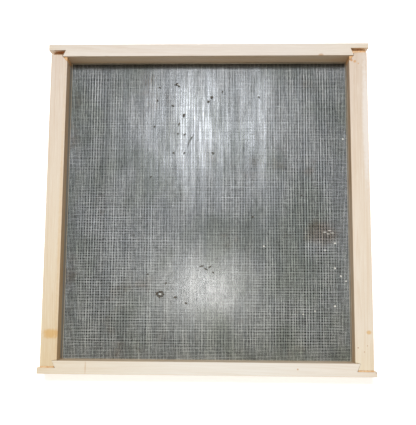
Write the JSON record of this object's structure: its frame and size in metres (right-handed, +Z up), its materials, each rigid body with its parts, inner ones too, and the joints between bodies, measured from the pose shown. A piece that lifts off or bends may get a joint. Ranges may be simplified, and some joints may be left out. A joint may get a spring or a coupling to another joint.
{
  "type": "screened hive cover",
  "caption": "Square softwood frame with half-dovetailed corners holding fine woven wire gauze low in its opening, over thin slats; a beehive's ventilation or travelling screen.",
  "frame": {"origin": "middle of the underside, where the slats rest", "axes": "+Z up, out of the recess over the gauze; +Y along the side rails, towards the top rail; +X along the cross rails, towards the right rail"},
  "size_m": [0.468, 0.474, 0.0385],
  "materials": {
    "rail_pine": "planed, bare",
    "slat_pine": "sawn, bare",
    "gauze_wire": "galvanised, dull",
    "bright_steel": "bright, slightly stained"
  },
  "bodies": {
    "root": {"top_rail": "rail_pine", "bottom_rail": "rail_pine", "left_rail": "rail_pine", "right_rail": "rail_pine", "slat_left": "slat_pine", "slat_right": "slat_pine", "slat_top": "slat_pine", "slat_bottom": "slat_pine", "gauze_warp": "gauze_wire", "gauze_weft": "gauze_wire", "nails_top_left": "bright_steel", "nails_top_right": "bright_steel", "nails_bottom_left": "bright_steel", "nails_bottom_right": "bright_steel", "brads_left": "bright_steel", "brads_right": "bright_steel", "brads_top": "bright_steel", "brads_bottom": "bright_steel"}
  },
  "joints": []
}
